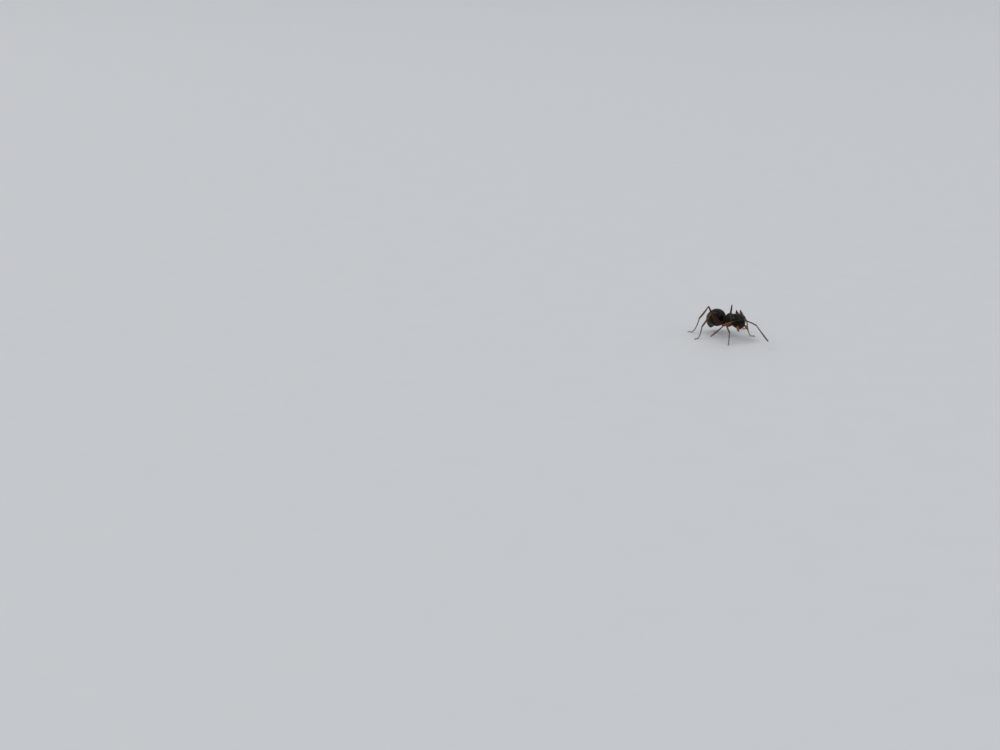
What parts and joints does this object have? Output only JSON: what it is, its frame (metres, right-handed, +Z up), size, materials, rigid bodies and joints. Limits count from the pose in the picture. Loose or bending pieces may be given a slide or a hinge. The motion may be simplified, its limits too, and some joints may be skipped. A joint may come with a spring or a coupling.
{
  "type": "ant",
  "caption": "Small black ant in mid stride at life size, head turned, jaws open, feelers spread, standing on all six legs.",
  "frame": {"origin": "on the floor, under the middle of the ant's whole outline, feelers and feet included", "axes": "+Z up from the floor the feet stand on; the ant faces -Y, and its left side is at +X"},
  "size_m": [0.0058, 0.007, 0.0022],
  "materials": {
    "head": "near-black shell with a soft bluish gloss and very fine short hairs",
    "trunk": "near-black shell, glossy on the humps and finely ribbed in the grooves",
    "gaster": "glossy black-brown plates with paler brown hind edges",
    "eye": "black compound eye with fine facets",
    "mandible": "orange-brown, darker along the toothed edge",
    "antenna": "red-brown with a dense short down",
    "leg_upper": "dark orange-brown, slightly translucent, glossy",
    "leg_lower": "ochre brown with short slanting bristles",
    "tarsus": "thin grey-brown foot joints with claws"
  },
  "bodies": {
    "root": {"head": "head", "pronotum": "trunk", "mesothorax": "trunk", "propodeum": "trunk", "petiole": "trunk", "gaster": "gaster", "eye_left": "eye", "eye_right": "eye", "mandible_left": "mandible", "mandible_right": "mandible", "antenna_left_scape": "antenna", "antenna_left_flagellum": "antenna", "antenna_right_scape": "antenna", "antenna_right_flagellum": "antenna", "leg_front_left_coxa": "leg_upper", "leg_front_left_femur": "leg_upper", "leg_front_left_tibia": "leg_lower", "leg_front_left_tarsus": "tarsus", "leg_front_right_coxa": "leg_upper", "leg_front_right_femur": "leg_upper", "leg_front_right_tibia": "leg_lower", "leg_front_right_tarsus": "tarsus", "leg_middle_left_coxa": "leg_upper", "leg_middle_left_femur": "leg_upper", "leg_middle_left_tibia": "leg_lower", "leg_middle_left_tarsus": "tarsus", "leg_middle_right_coxa": "leg_upper", "leg_middle_right_femur": "leg_upper", "leg_middle_right_tibia": "leg_lower", "leg_middle_right_tarsus": "tarsus", "leg_hind_left_coxa": "leg_upper", "leg_hind_left_femur": "leg_upper", "leg_hind_left_tibia": "leg_lower", "leg_hind_left_tarsus": "tarsus", "leg_hind_right_coxa": "leg_upper", "leg_hind_right_femur": "leg_upper", "leg_hind_right_tibia": "leg_lower", "leg_hind_right_tarsus": "tarsus"}
  },
  "joints": []
}
